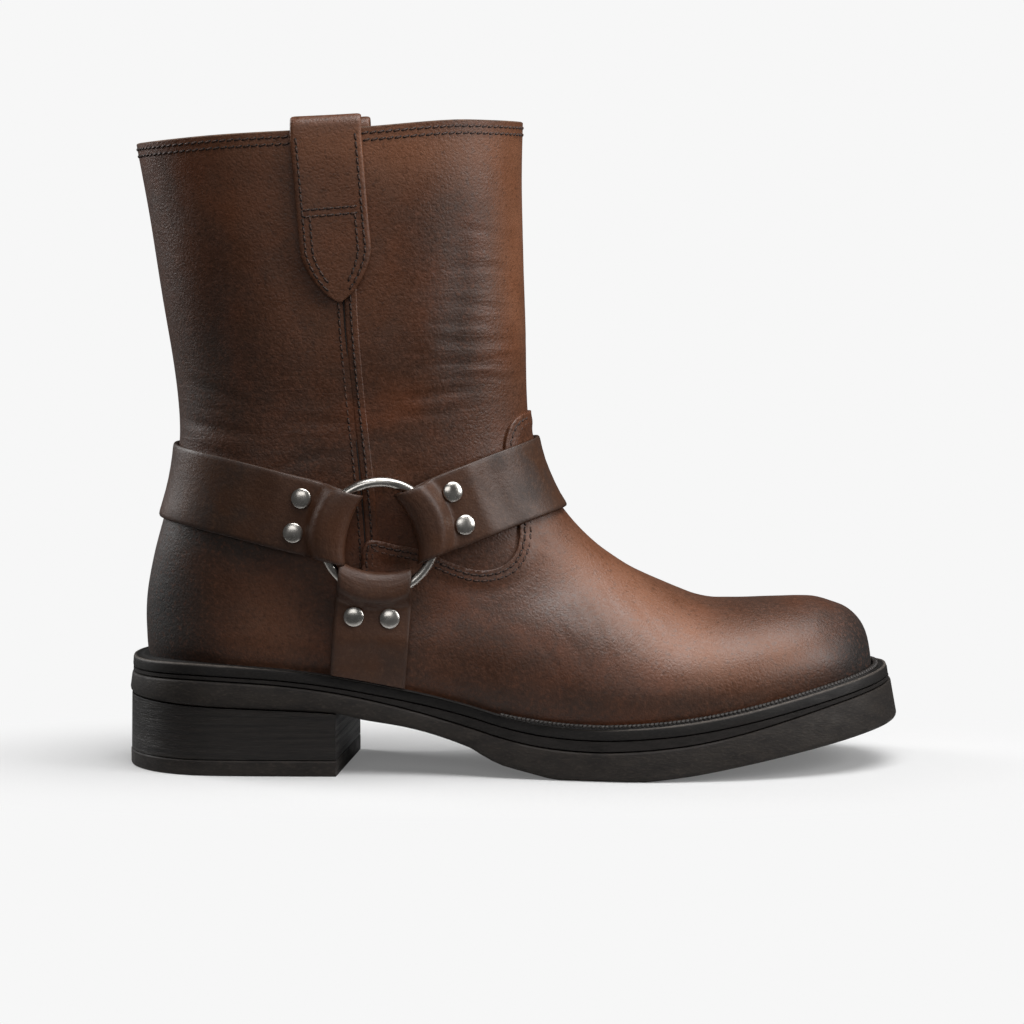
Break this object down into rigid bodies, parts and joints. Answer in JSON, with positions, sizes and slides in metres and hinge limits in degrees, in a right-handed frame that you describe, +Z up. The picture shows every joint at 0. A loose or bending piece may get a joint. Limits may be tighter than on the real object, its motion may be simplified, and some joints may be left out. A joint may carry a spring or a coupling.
{
  "type": "harness boot",
  "caption": "Right-foot pull-on harness boot: hollow leather shaft and foot, straps meeting at a metal ring on each side, pull loops, stitched welt and block heel.",
  "frame": {"origin": "on the floor, under the middle of the boot's length and width", "axes": "+X towards the toe, +Y towards the inner side of the right foot, +Z up"},
  "size_m": [0.3096, 0.1095, 0.2599],
  "materials": {
    "upper_leather": "oiled, pebbled grain",
    "strap_leather": "smooth, waxed",
    "insole_leather": "plain",
    "welt": "waxed edge",
    "midsole": "matt",
    "heel_stack": "stacked, stained dark",
    "rubber": "matt",
    "ring_metal": "polished nickel"
  },
  "bodies": {
    "root": {"outsole": "rubber", "midsole": "midsole", "welt": "welt", "heel_block": "heel_stack", "heel_top_piece": "rubber", "upper": "upper_leather", "insole": "insole_leather", "pull_loop_outer": "upper_leather", "pull_loop_inner": "upper_leather", "heel_strap": "strap_leather", "instep_strap": "strap_leather", "down_strap_outer": "strap_leather", "down_strap_inner": "strap_leather", "ring_outer": "ring_metal", "ring_inner": "ring_metal", "rivet_heel_strap_1": "ring_metal", "rivet_heel_strap_2": "ring_metal", "rivet_heel_strap_3": "ring_metal", "rivet_heel_strap_4": "ring_metal", "rivet_instep_strap_1": "ring_metal", "rivet_instep_strap_2": "ring_metal", "rivet_instep_strap_3": "ring_metal", "rivet_instep_strap_4": "ring_metal", "rivet_down_outer_1": "ring_metal", "rivet_down_outer_2": "ring_metal", "rivet_down_inner_1": "ring_metal", "rivet_down_inner_2": "ring_metal"}
  },
  "joints": []
}
